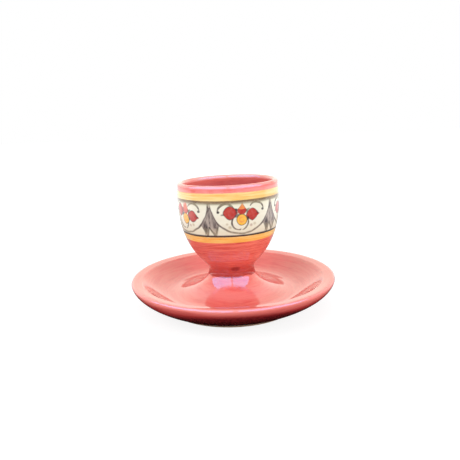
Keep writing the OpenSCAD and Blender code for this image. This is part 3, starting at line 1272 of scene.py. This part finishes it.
@dataclass(frozen=True)
class Frieze(Glaze):
    """The ivory ground with its painted frieze of arches, leaf pairs and flowers.

    The pattern repeats round the bowl. Its places are in millimetres, across from the
    middle of a flower or a leaf pair and up from the frieze's lower edge.
    """

    repeats: int = 5
    mean_r: float = 26.5
    height: float = 16.7
    flower_turn: float = 0.0419
    flower_lean: float = -0.15
    flower_slide: float = 1.8
    lean_up: float = 9.0
    sway_step: float = 2.1
    hand_slow: Span = (130.0, 1.0)
    hand_quick: Span = (330.0, 0.7)
    hand_apart: Triple = (0.3, 0.1, 0.2)
    hatch: Triple = (2.4, 0.5, 11.0)
    hatch_step: Span = (0.35, 0.60)

    def colour(self, g: Graph, turn: Socket, share: Socket, place: Socket, broad: Socket,
               fine: Socket) -> Socket:
        """Colour of the frieze: the ground, then each mark laid over it in painting order.

        Args:
            g: The material's graph.
            turn: Share of a full turn.
            share: Share of the way across the coat.
            place: Place in space.
            broad: The brush's broad strokes.
            fine: The brush's fine strokes.

        Returns:
            The painted colour.
        """
        colour = super().colour(g, turn, share, place, broad, fine)
        arch = self._point(g, turn, share, place, 0.0)
        flower = self._point(g, turn, share, place, 0.0, self.flower_lean, self.flower_slide)
        leaf = self._point(g, turn, share, place, 0.5)
        load = brush_load(g, place)
        x, up, _ = g.split(leaf)
        drawn = g.join(*(g.times(part, scale) for part, scale in zip((x, up, turn), self.hatch)))
        hatch = g.fade(g.noise(drawn, 1.0), *self.hatch_step)
        for marks, point, paint in ((ARCH_MARKS, arch, load), (LEAF_MARKS, leaf, hatch),
                                    (SCROLL_MARKS, arch, load), (FLOWER_MARKS, flower, load)):
            for mark in marks:
                colour = mark.lay(g, point, paint, colour)
        return colour

    def _point(self, g: Graph, turn: Socket, share: Socket, place: Socket, shift: float,
               lean: float = 0.0, slide: float = 0.0) -> Socket:
        """Place within a repeat, moved a little as a free hand moves it.

        Args:
            g: The material's graph.
            turn: Share of a full turn.
            share: Share of the frieze's height.
            place: Place in space, which steers the hand's unevenness.
            shift: Share of a repeat to move by, one half for the leaf pairs.
            lean: Largest angle in radians by which a repeat is turned, none at the front.
            slide: Most millimetres by which a repeat is moved to the side, none at the front.

        Returns:
            A vector of the millimetres across and up.
        """
        pitch = FULL_TURN * self.mean_r / self.repeats
        past = 2.0 * self.repeats  # keeps the count above 0
        first = past - self.repeats * (FRONT_TURN + self.flower_turn) + 0.5 - shift
        count = g.scaled(turn, float(self.repeats), first)
        across = g.times(g.minus(g.math("FRACT", count), 0.5), pitch)
        spots = (place, g.vector("ADD", place, self.hand_apart))
        slow, quick = (g.scaled(g.noise(spot, scale, 1.0), most, -0.5 * most)
                       for spot, (scale, most) in zip(spots, (self.hand_slow, self.hand_quick)))
        nth = g.minus(g.math("FLOOR", count), past)
        sway = g.math("SINE", g.times(nth, self.sway_step))
        point = g.join(g.scaled(sway, slide, g.plus(across, slow)),
                       g.scaled(share, self.height, quick))
        return g.rotate(point, g.times(sway, lean), (0.0, self.lean_up, 0.0))


@dataclass(frozen=True)
class Biscuit:
    """Bare fired earthenware, as left on the foot ring and below the glaze.

    Mottle and grog specks each have a scale of noise, the step that makes them and their
    strength; the tooth has a scale and its height in metres.
    """

    name: str
    pale: Colour
    dark: Colour
    rough: float = 0.86
    mottle: tuple[float, Span, float] = (220.0, (0.30, 0.70), 0.6)
    speck: tuple[float, Span, float] = (1900.0, (0.66, 0.74), 0.35)
    tooth: tuple[float, float] = (1400.0, 0.00006)

    def material(self) -> bpy.types.Material:
        """Builds the material: mottled clay with grog specks and a fine tooth.

        Returns:
            The material, with its colour, roughness and normal from nodes.
        """
        made = bpy.data.materials.new(self.name)
        g = empty_graph(made)
        place = g.coordinates()
        mottle, speck = (g.fade(g.noise(place, scale, detail), *step) for detail, (scale, step, _)
                         in ((3.0, self.mottle), (1.0, self.speck)))
        blend = g.scaled(speck, self.speck[2], g.times(mottle, self.mottle[2]))
        rough = g.scaled(mottle, CLAY_SPREAD, self.rough - CLAY_SPREAD / 2)
        scale, relief = self.tooth
        g.finish(g.mix(blend, self.pale, self.dark), rough, g.noise(place, scale, 4.0, 0.6), relief)
        return made


class Slot(Enum):
    """Material slots of the record that the pieces take their finish from."""

    SAUCER_CLAY = "saucer_clay"
    CUP_CLAY = "cup_clay"
    SLIP = "slip"
    FOOT_WELL = "foot_well_coral"
    SAUCER_UNDER = "saucer_under_coral"
    SAUCER_TOP = "saucer_top_coral"
    CUP_BASE = "cup_coral"
    LOWER_YELLOW = "lower_yellow"
    LOWER_LINE = "lower_line"
    FRIEZE = "frieze_ivory"
    UPPER_LINE = "upper_line"
    UPPER_YELLOW = "upper_yellow"
    LIP = "lip_coral"
    LINING = "lining_red"


CORAL_THIN = (0.85, 0.215, 0.168)
CORAL_THICK = (0.78, 0.125, 0.092)
CORAL_POOLED = (0.60, 0.060, 0.046)
YELLOW_THIN = srgb(255, 220, 132)
YELLOW_THICK = srgb(255, 180, 72)
LINE_BROWN = srgb(74, 56, 52)
IVORY = (0.90, 0.90, 0.755)
STEM_RED = (0.40, 0.027, 0.021)
CLAY = ((0.70, 0.47, 0.34), (0.56, 0.33, 0.22))

LIP_MARKS = tuple(Mark(Blob(*dab), (0.88, 0.13, 0.10), soft=0.8, strength=0.6, dry=0.5) for dab in (
    (0.6, 1.1, 2.6, 0.9), (-19.0, 0.8, 4.2, 0.7), (-8.5, 0.9, 1.4, 0.7),
    (27.5, 2.2, 2.2, 1.6, -20), (39.0, 2.0, 2.6, 1.4), (52.0, 1.4, 4.6, 1.1),
    (75.0, 2.6, 2.0, 2.0), (-34.0, 1.2, 3.0, 1.2), (-58.0, 2.4, 2.4, 1.8),
    (-4.5, 5.4, 1.6, 1.0)))

FINISHES: dict[Slot, Glaze | Biscuit] = {
    Slot.SAUCER_CLAY: Biscuit("saucer_biscuit", *CLAY),
    Slot.CUP_CLAY: Biscuit("cup_biscuit", *CLAY),
    Slot.SLIP: Biscuit("joining_slip", (0.66, 0.42, 0.29), (0.50, 0.28, 0.18)),
    Slot.FOOT_WELL: Glaze(
        "foot_well_coral", CORAL_THIN, CORAL_THICK, CORAL_POOLED, 0.5, stroke=4.5),
    Slot.SAUCER_UNDER: Glaze(
        "saucer_under_coral", (0.80, 0.088, 0.084), (0.64, 0.050, 0.050), CORAL_POOLED, 0.4,
        # The second ring is a painted lit strip: brighter coral on the underside just below the
        # nose.
        rings=(Ring(0.0, 1.2, srgb(250, 190, 160), 0.6), Ring(25.2, 5.0, (1.0, 0.26, 0.22), 1.0)),
        stroke=3.5,
        # The mark is a painted shadow: a soft near-black patch on the middle of the underside at
        # the front.
        marks=(Mark(Blob(1.0, 11.0, 10.0, 10.5), (0.16, 0.006, 0.010), soft=2.0, strength=0.9),)),
    Slot.SAUCER_TOP: Glaze(
        "saucer_top_coral", CORAL_THIN, (0.84, 0.132, 0.118), CORAL_POOLED, 0.3,
        # The first ring is a painted highlight: a pale pink line along the rim's crest all round.
        rings=(Ring(1.2, 1.7, (0.92, 0.32, 0.31), 0.6), Ring(38.5, 7.5, (0.90, 0.25, 0.24), 0.6)),
        high_next=STEM_RED, ragged=2.2, drips=260.0, lap=0.3,
        stroke=3.4, hair=0.7, streaks=0.14, rough=0.048,
        # The three marks are painted shade: soft darker patches on the dish's right and left that
        # tone down the lamps' light there.
        marks=(
            Mark(Blob(11.8, 26.0, 6.0, 9.0), (0.72, 0.095, 0.072), soft=4.0, strength=0.5),
            Mark(Blob(18.0, 5.0, 5.0, 6.5), (0.74, 0.110, 0.085), soft=3.0, strength=0.5),
            Mark(Blob(-17.0, 21.0, 7.0, 9.0), (0.66, 0.12, 0.10), soft=4.0, strength=0.3))),
    Slot.CUP_BASE: Glaze(
        "cup_coral", (0.97, 0.27, 0.19), (0.74, 0.095, 0.070), (0.56, 0.056, 0.048), 0.6,
        # The ring darkens the coat to STEM_RED down the stem: thicker paint there, and partly
        # painted shade under the bowl.
        rings=(Ring(0.0, 13.5, STEM_RED, 0.95),), high_next=YELLOW_THICK,
        stroke=1.0, hair=0.3, streaks=0.5,
        marks=(
            Mark(Blob(1.9, 5.1, 2.2, 1.8), (0.26, 0.013, 0.011), soft=0.7, strength=0.85),
            # The second mark is painted shade with a pinkish painted reflection, on the lower
            # bowl's left.
            Mark(Blob(-12.0, 15.0, 9.0, 11.0), (0.60, 0.115, 0.105), soft=5.0, strength=0.45))),
    Slot.LOWER_YELLOW: Glaze(
        "lower_yellow", YELLOW_THIN, YELLOW_THICK, srgb(240, 140, 60), 0.35,
        low_next=(0.86, 0.20, 0.12), high_next=LINE_BROWN, stroke=1.2),
    Slot.LOWER_LINE: Glaze(
        "lower_line", srgb(78, 58, 48), srgb(52, 38, 34), DARK_INK, 0.5,
        low_next=srgb(150, 100, 56), bleed=0.10, stroke=0.5),
    Slot.FRIEZE: Frieze(
        "frieze_ivory", IVORY, (0.86, 0.85, 0.70), (0.78, 0.74, 0.57), 0.25,
        low_next=srgb(84, 66, 56), high_next=srgb(140, 126, 104), bleed=0.32,
        # The first ring is painted light and shade: a darker, yellower band low on the frieze for
        # the warm light that the saucer throws up.
        rings=(Ring(0.8, 5.5, (0.76, 0.67, 0.42), 0.35), Ring(16.7, 2.2, (0.62, 0.58, 0.36), 0.45),
               Ring(16.7, 0.9, srgb(122, 106, 84), 0.7), Ring(0.0, 0.8, srgb(58, 42, 36), 0.95)),
        mark_r=26.5,
        marks=(Mark(Blob(-25.2, 14.0, 1.9, 2.6), (0.80, 0.20, 0.16), soft=0.5, strength=0.8),)),
    Slot.UPPER_LINE: Glaze(
        "upper_line", srgb(150, 128, 92), srgb(104, 86, 70), srgb(74, 60, 54), 0.5,
        low_next=srgb(186, 174, 144), high_next=srgb(206, 164, 90), bleed=0.45, ragged=1.3,
        streaks=0.4, stroke=0.6, reach=4.0),
    Slot.UPPER_YELLOW: Glaze(
        "upper_yellow", srgb(255, 230, 164), srgb(253, 194, 96), srgb(240, 160, 60), 0.3,
        low_next=srgb(176, 150, 96), high_next=(0.88, 0.24, 0.15), stroke=1.3),
    Slot.LIP: Glaze(
        "lip_coral", (0.95, 0.36, 0.33), (0.93, 0.27, 0.25), (0.88, 0.13, 0.11), 0.6,
        rings=(Ring(1.8, 1.0, (0.92, 0.21, 0.21), 0.5), Ring(5.7, 1.3, (0.86, 0.44, 0.37), 0.6)),
        low_next=(0.90, 0.30, 0.16), streaks=0.3, stroke=1.0, hair=0.25, reach=2.6,
        relief=0.00006, marks=LIP_MARKS, mark_r=26.8),
    Slot.LINING: Glaze(
        "lining_red", (0.72, 0.178, 0.168), (0.62, 0.118, 0.112), (0.48, 0.058, 0.056), 0.5,
        rings=(Ring(0.0, 3.0, (0.86, 0.20, 0.15), 0.6),), stroke=2.4),
}


@dataclass
class Coat:
    """A coat of glaze over the stretch of the skin between two painted edges."""

    name: str
    node: str
    slot: Slot
    low: Edge
    high: Edge

    def build(self, skin: SkinLine, thrown: HandThrown) -> bpy.types.Object:
        """Makes the coat as a closed shell and dresses it.

        The outer grid lies on the skin between the two edges, and the inner grid lies one
        coat deeper and runs back, so that they close into a shell.

        Args:
            skin: The line that the coat lies along.
            thrown: The unevenness of the piece.

        Returns:
            The coat.
        """
        turn = np.arange(TURN_STEPS) / TURN_STEPS
        low, high = self.low.way(turn), self.high.way(turn)
        outer = skin.shares(self.low.place, self.high.place)
        inner = skin.shares(self.low.place, self.high.place, INNER_ROWS)[::-1]
        r_out, z_out = skin.at(low + (high - low) * outer[:, None])
        r_in, z_in = skin.at(low + (high - low) * inner[:, None], skin.coat)
        piece = lathe(self.name, np.vstack([r_out, r_in]), np.vstack([z_out, z_in]),
                      np.concatenate([outer, inner]), thrown)
        return seat(piece, self.node, self.slot, self.high.place - self.low.place)


def seat(piece: bpy.types.Object, node: str, slot: Slot, *width: float) -> bpy.types.Object:
    """Dresses the piece and rides it on the object's one body in the place of its node.

    Args:
        piece: The piece.
        node: CAD node that it stands for.
        slot: The node's material slot, which names its finish.
        *width: Width of a coat along the skin, in millimetres; none for bare clay.

    Returns:
        The same piece.
    """
    piece.data.materials.append(FINISHES[slot].material(*width))
    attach(piece, "root")
    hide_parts(node)
    log.info("%s stands for %s: %d faces", piece.name, node, len(piece.data.polygons))
    return piece


def solid(name: str, outline: np.ndarray, thrown: HandThrown) -> bpy.types.Object:
    """Turns a closed outline of radius and height about the axis, the same at every turn."""
    r, z = (np.broadcast_to(outline[:, i:i + 1], (len(outline), TURN_STEPS)) for i in (0, 1))
    return lathe(name, r, z, np.linspace(0, 1, len(outline)), thrown)


@dataclass
class Saucer:
    """The saucer: clay with a foot ring, and its three coats."""

    skin: SkinLine
    thrown: HandThrown
    edges: dict[str, Edge]

    def recess(self, depth: float) -> np.ndarray:
        """Line of the recess inside the foot ring, from its rounded corner to the axis.

        Args:
            depth: How deep below the recess's glaze, in millimetres.

        Returns:
            An array of one row of radius and height for each point.
        """
        s = self.skin
        edge_r = s.foot_r - s.foot_w
        corner = edge_r - s.recess_round
        roof_z = s.recess_z - s.coat
        arc = ellipse_arc((corner, s.foot_round), (s.recess_round, roof_z - s.foot_round),
                          (0, 90), CORNER_POINTS)
        roof = np.column_stack([np.linspace(corner - 1, 0, ROOF_POINTS),
                                np.full(ROOF_POINTS, roof_z)])
        line = np.vstack([arc, roof])
        run = np.gradient(line, axis=0)
        run /= np.hypot(*run.T)[:, None]
        moved = line + depth * np.column_stack([run[:, 1], -run[:, 0]])
        moved[:, 0] = np.maximum(moved[:, 0], 0.0)
        moved[-1, 0] = 0.0
        return moved

    def clay(self) -> bpy.types.Object:
        """Makes the clay body: below the coats, with a rounded foot ring and a level seat.

        Returns:
            The clay body.
        """
        s = self.skin
        under = s.clay_line(0.0, s.slip_low)
        out, inn = (ellipse_arc((r, s.foot_round), (s.foot_round,) * 2, span, FOOT_POINTS)
                    for r, span in ((s.foot_r - s.foot_round, (-90, 0)),
                                    (s.foot_r - s.foot_w + s.foot_round, (180, 270))))
        top = np.array([[under[-1, 0], s.seat_z], [0.0, s.seat_z]])
        outline = np.vstack([under, top, self.recess(s.coat)[::-1], inn, out])
        piece = solid("saucer_clay_body", outline, self.thrown)
        return seat(piece, "saucer_body", Slot.SAUCER_CLAY)

    def foot_well(self) -> bpy.types.Object:
        """Makes the coat in the recess inside the foot ring.

        Returns:
            The coat.
        """
        outline = np.vstack([self.recess(0.0), self.recess(self.skin.coat)[::-1]])
        piece = solid("foot_well_coat", outline, self.thrown)
        return seat(piece, "foot_well_glaze", Slot.FOOT_WELL, 2 * self.skin.foot_r)

    def build(self) -> list[bpy.types.Object]:
        """Makes the saucer's four pieces.

        Returns:
            The clay body and the three coats.
        """
        e = self.edges
        under = Coat("saucer_under_coat", "saucer_under_glaze", Slot.SAUCER_UNDER,
                     e["shoulder"], e["nose"])
        top = Coat("saucer_top_coat", "saucer_top_glaze", Slot.SAUCER_TOP, e["nose"], e["seam"])
        pieces = [self.clay(), self.foot_well()]
        return pieces + [coat.build(self.skin, self.thrown) for coat in (under, top)]


@dataclass
class StemJoint:
    """The ring of slip that joins the stem's tenon to the saucer's seat."""

    skin: SkinLine
    thrown: HandThrown

    def build(self) -> list[bpy.types.Object]:
        """Makes the ring between the clay line of the flare, the tenon and the seat.

        Returns:
            The ring.
        """
        s = self.skin
        flare = s.clay_line(s.slip_low, s.slip_top)
        inside = np.array([[s.tenon_r, flare[-1, 1]], [s.tenon_r, s.seat_z],
                           [flare[0, 0], s.seat_z]])
        piece = solid("joining_slip_ring", np.vstack([flare, inside]), self.thrown)
        return [seat(piece, "luting_slip", Slot.SLIP)]


@dataclass
class Cup:
    """The cup and its solid stem: clay with a tenon, and its eight coats."""

    skin: SkinLine
    thrown: HandThrown
    edges: dict[str, Edge]

    def clay(self) -> bpy.types.Object:
        """Makes the clay body, from the tenon up the stem, over the lip and down the well.

        Returns:
            The clay body.
        """
        s = self.skin
        line = s.clay_line(s.slip_top, s.places["bottom"])
        tenon = np.array([[0.0, s.seat_z], [s.tenon_r, s.seat_z], [s.tenon_r, line[0, 1]]])
        piece = solid("cup_clay_body", np.vstack([line, tenon]), self.thrown)
        return seat(piece, "cup_body", Slot.CUP_CLAY)

    def build(self) -> list[bpy.types.Object]:
        """Makes the cup's nine pieces, the coats from the stem up and into the well.

        Returns:
            The clay body and the eight coats.
        """
        rows = (
            ("cup_base_coat", "cup_base_glaze", Slot.CUP_BASE, "seam"),
            ("lower_yellow_coat", "lower_yellow_band", Slot.LOWER_YELLOW, "lower_yellow"),
            ("lower_line_coat", "lower_dark_line", Slot.LOWER_LINE, "lower_line"),
            ("frieze_coat", "ivory_frieze", Slot.FRIEZE, "frieze"),
            ("upper_line_coat", "upper_dark_line", Slot.UPPER_LINE, "upper_line"),
            ("upper_yellow_coat", "upper_yellow_band", Slot.UPPER_YELLOW, "upper_yellow"),
            ("lip_coat", "lip_glaze", Slot.LIP, "lip_band"),
            ("lining_coat", "cup_lining_glaze", Slot.LINING, "mouth"),
        )
        starts = [self.edges[row[3]] for row in rows] + [self.edges["bottom"]]
        coats = [Coat(*row[:3], low, high) for row, low, high in zip(rows, starts, starts[1:])]
        return [self.clay()] + [coat.build(self.skin, self.thrown) for coat in coats]


@dataclass(frozen=True)
class Window:
    """A soft box as the glaze reflects it: its span of azimuth and of height, in degrees."""

    left: float
    right: float
    low: float = 17
    high: float = 71
    colour: Colour = (0.4, 3.9, 7.3)
    soft_side: float = 2
    soft_low: float = 1.5
    soft_high: float = 17

    def mask(self, g: Graph, azimuth: Socket, height: Socket) -> Socket:
        """Share of the soft box that is seen in a direction, from 0 to 1.

        Args:
            g: The graph that the nodes go into.
            azimuth: Azimuth of the direction, in degrees.
            height: Height of the direction, in degrees.

        Returns:
            The share's socket.
        """
        side, low, high = self.soft_side, self.soft_low, self.soft_high
        wide = g.times(g.fade(azimuth, self.left - side, self.left + side),
                       g.fade(azimuth, self.right + side, self.right - side))
        tall = g.times(g.fade(height, self.low - low, self.low + low),
                       g.fade(height, self.high + high, self.high - high))
        return g.times(wide, tall)


@dataclass(frozen=True)
class Lamp:
    """A soft square lamp that lights the object's diffuse colours.

    Its azimuth runs from the camera's side towards the right and its height from the floor,
    in degrees. It stands some metres away from the object. Its light is the brightness of
    white paper that faces it there.
    """

    name: str
    azimuth: float
    height: float
    away: float
    size: float
    light: float
    tint: Colour

    def build(self) -> None:
        """Adds the lamp to the scene, unseen in the glaze."""
        data = bpy.data.lights.new(self.name, "AREA")
        data.shape = "SQUARE"
        data.size = self.size
        data.color = self.tint
        data.energy = self.light * math.pi**2 * self.away**2
        lamp = bpy.data.objects.new(self.name, data)
        bpy.context.scene.collection.objects.link(lamp)
        a, h = math.radians(self.azimuth), math.radians(self.height)
        lamp.location = (self.away * math.sin(a) * math.cos(h),
                         -self.away * math.cos(a) * math.cos(h),
                         AIM_HEIGHT + self.away * math.sin(h))
        lamp.rotation_euler = (math.pi / 2 - h, 0.0, a)
        lamp.visible_glossy = False


@dataclass(frozen=True)
class Floor:
    """The pale floor: white to the camera but for the soft shadow, grey to other light.

    Spans are metres from the axis. Below the saucer the paper is nearly black to reflections
    and bounced light, as the reflections in the underside show it: a painted shadow. To the
    sides, from the saucer's line back, the paper glows to glossy rays only: a painted
    reflection.
    """

    half: float = 3.0
    seen: Colour = (0.27, 0.27, 0.27)
    # below is a painted shadow: near-black paper under the saucer, seen by reflections and bounced
    # light
    below: Colour = (0.02, 0.012, 0.014)
    below_span: Span = (0.052, 0.095)
    lit: Colour = (0.54, 0.51, 0.50)
    mirrored: Colour = (0.56, 0.54, 0.54)
    white_least: float = 0.84
    white_rise: float = 0.18
    white_span: Span = (0.10, 0.30)
    # glow is a painted reflection: paper to the sides that glows to glossy rays only
    glow: float = 1.3
    glow_side: Span = (0.10, 0.20)
    glow_back: Span = (-0.10, 0.02)

    def build(self) -> None:
        """Lays the floor."""
        half = self.half
        mesh = bpy.data.meshes.new("floor")
        mesh.from_pydata([(-half, -half, 0), (half, -half, 0), (half, half, 0), (-half, half, 0)],
                         [], [(0, 1, 2, 3)])
        floor = bpy.data.objects.new("floor", mesh)
        bpy.context.scene.collection.objects.link(floor)
        material = bpy.data.materials.new("floor_paper")
        g = empty_graph(material)
        path = g.node("ShaderNodeLightPath").outputs
        place = g.coordinates()
        away = g.vector("LENGTH", place)
        x, y, _ = g.split(place)
        white = g.scaled(g.fade(away, *self.white_span), self.white_rise, self.white_least)
        # painted reflection: the paper to the sides, from the saucer's line back, glows to glossy
        # rays
        side = g.times(g.fade(g.math("ABSOLUTE", x), *self.glow_side), g.fade(y, *self.glow_back))
        side = g.times(g.times(side, path["Is Glossy Ray"]), self.glow)
        glow = g.node("ShaderNodeEmission")
        g.put(glow.inputs["Color"], (1.0, 1.0, 1.0, 1.0))
        g.put(glow.inputs["Strength"], g.scaled(path["Is Camera Ray"], white, side))
        lit = g.mix(path["Is Glossy Ray"], self.lit, self.mirrored)
        # painted shadow: near-black paper under the saucer, for all but camera rays
        lit = g.mix(g.fade(away, *self.below_span), self.below, lit)
        paper = g.node("ShaderNodeBsdfDiffuse")
        g.put(paper.inputs["Color"], g.mix(path["Is Camera Ray"], lit, self.seen))
        both = g.node("ShaderNodeAddShader")
        for socket, shader in zip(both.inputs, (glow, paper)):
            g.put(socket, shader.outputs[0])
        g.put(g.node("ShaderNodeOutputMaterial").inputs["Surface"], both.outputs[0])
        mesh.materials.append(material)


@dataclass
class Studio:
    """Camera, lamps, floor and surroundings.

    The camera stands where the photograph's perspective puts it. Two soft boxes to the
    left and right of it, a bright backdrop and a paler room show in the glaze's
    reflections. The backdrop's and the table's spans are degrees of azimuth from the
    camera's side and degrees of height.
    """

    sensor: float = 36
    lens: float = 38.66
    clip: float = 0.01
    eye: Triple = (-0.0005, -0.2619, 0.0984)
    pitch: float = 12.33
    yaw: float = 0.05
    roll: float = -1.93
    ambient: float = 0.59
    sky: Span = (0.45, 1.15)
    sky_span: Span = (0, 40)
    room: Colour = (1.0, 1.1, 1.1)
    table: Colour = (0.3, 0.3, 0.3)
    table_side: Span = (150, 110)
    table_top: Span = (20, 12)
    backdrop: Colour = (1.86, 1.82, 1.60)
    backdrop_side: Span = (96, 125)
    backdrop_top: Span = (65, 35)
    backdrop_foot: Span = (1, 10)
    backdrop_least: float = 0.2
    backdrop_across: Triple = (-0.8, 0.2, 1.06)
    windows: tuple[Window, ...] = (Window(-105, -4), Window(3, 88))
    lamps: tuple[Lamp, ...] = (
        Lamp("left_lamp", -62, 22, 0.5, 0.50, 0.66, (1.0, 0.98, 0.98)),
        Lamp("right_lamp", 54, 13, 1.8, 1.80, 0.97, (1.0, 0.985, 0.96)),
        Lamp("top_lamp", 160, 72, 0.9, 0.7, 0.12, (1.0, 1.0, 1.0)),
    )

    def camera(self) -> None:
        """Sets the camera from its eye point and three angles."""
        data = bpy.data.cameras.new("camera")
        data.sensor_width = self.sensor
        data.lens = self.lens
        data.clip_start = self.clip
        camera = bpy.data.objects.new("camera", data)
        bpy.context.scene.collection.objects.link(camera)
        pitch, yaw, roll = (math.radians(a) for a in (self.pitch, self.yaw, self.roll))
        ahead = np.array([math.sin(yaw) * math.cos(pitch), math.cos(yaw) * math.cos(pitch),
                          -math.sin(pitch)])
        right = np.cross(ahead, [0, 0, 1])
        right /= np.linalg.norm(right)
        up = np.cross(right, ahead)
        axes = np.column_stack([math.cos(roll) * right + math.sin(roll) * up,
                                -math.sin(roll) * right + math.cos(roll) * up, -ahead])
        pose = np.eye(4)
        pose[:3, :3] = axes
        pose[:3, 3] = self.eye
        camera.matrix_world = Matrix(pose.tolist())
        bpy.context.scene.camera = camera

    def _seen(self, g: Graph) -> tuple[Socket, Socket]:
        """What the glaze reflects in each direction, and the direction's height.

        Args:
            g: The graph that the nodes go into.

        Returns:
            The sockets of the colour and of the height in degrees.
        """
        x, y, z = g.split(g.coordinates("Generated"))
        degrees = 180 / math.pi
        azimuth = g.times(g.math("ARCTAN2", x, g.times(y, -1.0)), degrees)
        height = g.times(g.math("ARCSINE", z), degrees)
        side = g.math("ABSOLUTE", azimuth)
        behind = g.times(g.fade(side, *self.backdrop_side), g.fade(height, *self.backdrop_top))
        foot = g.scaled(g.fade(height, *self.backdrop_foot),
                        1 - self.backdrop_least, self.backdrop_least)
        behind = g.times(behind, foot)
        low = g.times(g.fade(height, *self.table_top), g.fade(side, *self.table_side))
        bend, slope, middle = self.backdrop_across
        uneven = g.scaled(g.scaled(x, bend, slope), x, middle)
        backdrop = g.vector("SCALE", self.backdrop, uneven)
        seen = g.mix(behind, g.mix(low, self.room, self.table), backdrop)
        for window in self.windows:
            seen = g.mix(window.mask(g, azimuth, height), seen, window.colour)
        return seen, height

    def surroundings(self) -> None:
        """Sets the world: white to the camera, the room to the glaze, even light beyond."""
        world = bpy.data.worlds.new("studio")
        bpy.context.scene.world = world
        g = empty_graph(world)
        seen, height = self._seen(g)
        path = g.node("ShaderNodeLightPath").outputs
        even = g.mix(g.fade(height, *self.sky_span),
                     *((share * self.ambient,) * 3 for share in self.sky))
        light = g.mix(path["Is Glossy Ray"], even, seen)
        straight = g.math("MAXIMUM", path["Is Camera Ray"], path["Is Transmission Ray"])
        back = g.node("ShaderNodeBackground")
        g.put(back.inputs["Color"], g.mix(straight, light, (1.0, 1.0, 1.0)))
        g.put(g.node("ShaderNodeOutputWorld").inputs["Surface"], back.outputs[0])

    def build(self) -> None:
        """Sets up the whole studio."""
        bpy.context.scene.view_settings.view_transform = "Standard"
        self.camera()
        for lamp in self.lamps:
            lamp.build()
        self.surroundings()
        Floor().build()


def painted_edges(skin: SkinLine) -> dict[str, Edge]:
    """The edges of the coats, with the sway that a brush gives each on a turning wheel.

    Args:
        skin: The line that the edges lie on.

    Returns:
        Each edge by its name.
    """
    sway = {"seam": 0.35, "lower_yellow": 0.10, "lower_line": 0.05, "frieze": 0.05,
            "upper_line": 0.08, "upper_yellow": 0.06, "lip_band": 0.12, "mouth": 0.10}
    return {name: Edge(place, sway.get(name, 0.0), number)
            for number, (name, place) in enumerate(skin.places.items())}


def main() -> None:
    """Builds the studio, the saucer, the joint and the cup."""
    logging.basicConfig(level=logging.INFO, format="%(name)s: %(message)s")
    Studio().build()
    skin = SkinLine()
    thrown = HandThrown()
    edges = painted_edges(skin)
    pieces = Saucer(skin, thrown, edges).build() + StemJoint(skin, thrown).build()
    pieces += Cup(skin, thrown, edges).build()
    log.info("%d pieces built", len(pieces))


if __name__ == "__main__":
    main()
